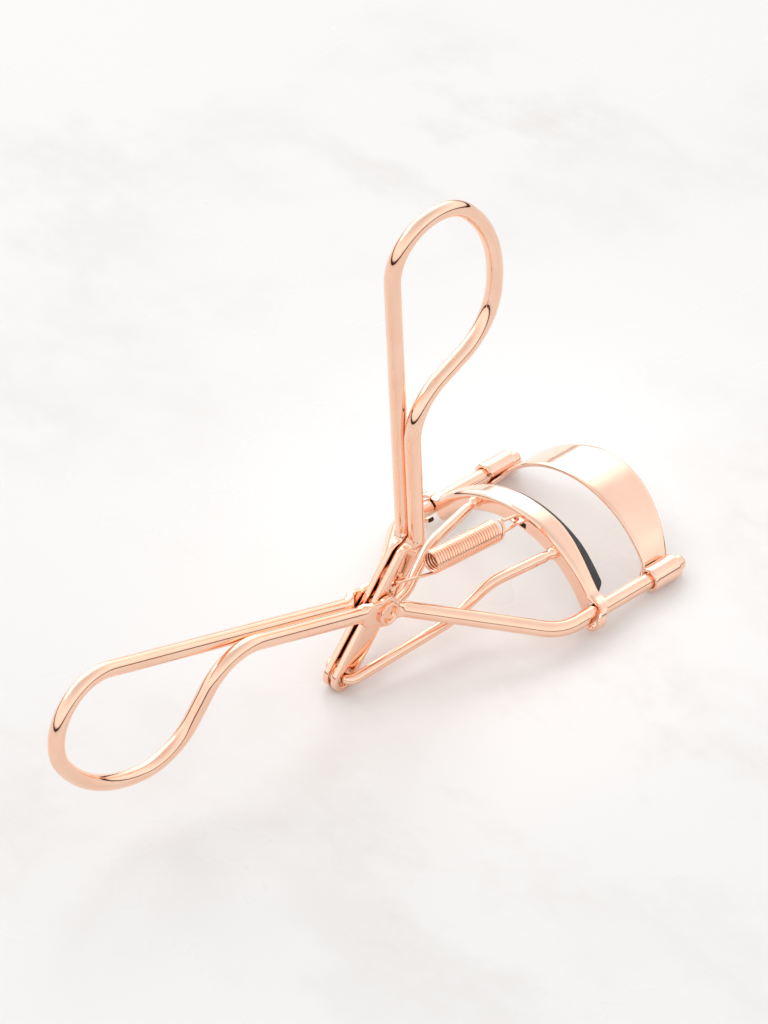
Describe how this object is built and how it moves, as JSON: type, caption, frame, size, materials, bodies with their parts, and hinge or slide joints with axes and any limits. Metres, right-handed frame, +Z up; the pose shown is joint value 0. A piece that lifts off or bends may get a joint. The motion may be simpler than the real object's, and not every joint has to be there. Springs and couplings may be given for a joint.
{
  "type": "eyelash curler",
  "caption": "Wire-framed eyelash curler in rose-gold plate: crossed finger-loop handles, a link and a sliding padded jaw that closes on an arched upper jaw, with a return spring.",
  "frame": {"origin": "on the standing surface, under the middle of the tool's bounding box", "axes": "+X forward along the guide rods' direction, from the finger loops to the jaws; +Y to the tool's left; +Z up from the surface the tool stands on"},
  "size_m": [0.122, 0.0408, 0.0822],
  "materials": {
    "rose_gold": "mirror-polished rose-gold plating over steel",
    "silicone_pad": "smooth satin silicone"
  },
  "bodies": {
    "frame": {"frame_handle": "rose_gold", "frame_arm_right": "rose_gold", "frame_arm_left": "rose_gold", "upper_jaw": "rose_gold", "pivot_rivet": "rose_gold"},
    "lever": {"lever_handle": "rose_gold", "lever_plate_right": "rose_gold", "lever_plate_left": "rose_gold"},
    "jaw": {"moving_jaw": "rose_gold", "lash_pad": "silicone_pad"},
    "link": {"link_wire": "rose_gold"},
    "spring_rear": {"spring_coil": "rose_gold", "spring_rear_hook": "rose_gold"},
    "spring_front": {"spring_front_hook": "rose_gold"}
  },
  "joints": [
    {"name": "lever_pivot", "type": "hinge", "parent": "frame", "child": "lever", "pos_m": [0.00693, 0, 0.01198], "axis": [0, -1, 0], "range_deg": [0, 46.21], "stiffness_Nm_per_rad": 0.012, "springref_deg": -8.59},
    {"name": "jaw_slide", "type": "slide", "parent": "frame", "child": "jaw", "axis": [0.9978, 0, -0.0659], "range_m": [0, 0.0089]},
    {"name": "link_knuckle", "type": "hinge", "parent": "jaw", "child": "link", "pos_m": [0.03754, 0, 0.00956], "axis": [0, -1, 0], "range_deg": [0, 3.7]},
    {"name": "spring_pivot", "type": "hinge", "parent": "lever", "child": "spring_rear", "pos_m": [0.00984, 0, 0.01567], "axis": [0, -1, 0], "range_deg": [-46.06, 0]},
    {"name": "spring_stretch", "type": "slide", "parent": "spring_rear", "child": "spring_front", "axis": [0.9905, 0, -0.1378], "range_m": [0, 0.01259], "deforming": ["spring_coil"]}
  ],
  "couplings": [
    {"joint": "jaw_slide", "follows": "lever_pivot", "m_per_rad": 0.010972},
    {"joint": "link_knuckle", "follows": "lever_pivot", "ratio": 0.07902},
    {"joint": "spring_pivot", "follows": "lever_pivot", "ratio": -0.99458},
    {"joint": "spring_stretch", "follows": "lever_pivot", "m_per_rad": 0.015481}
  ]
}
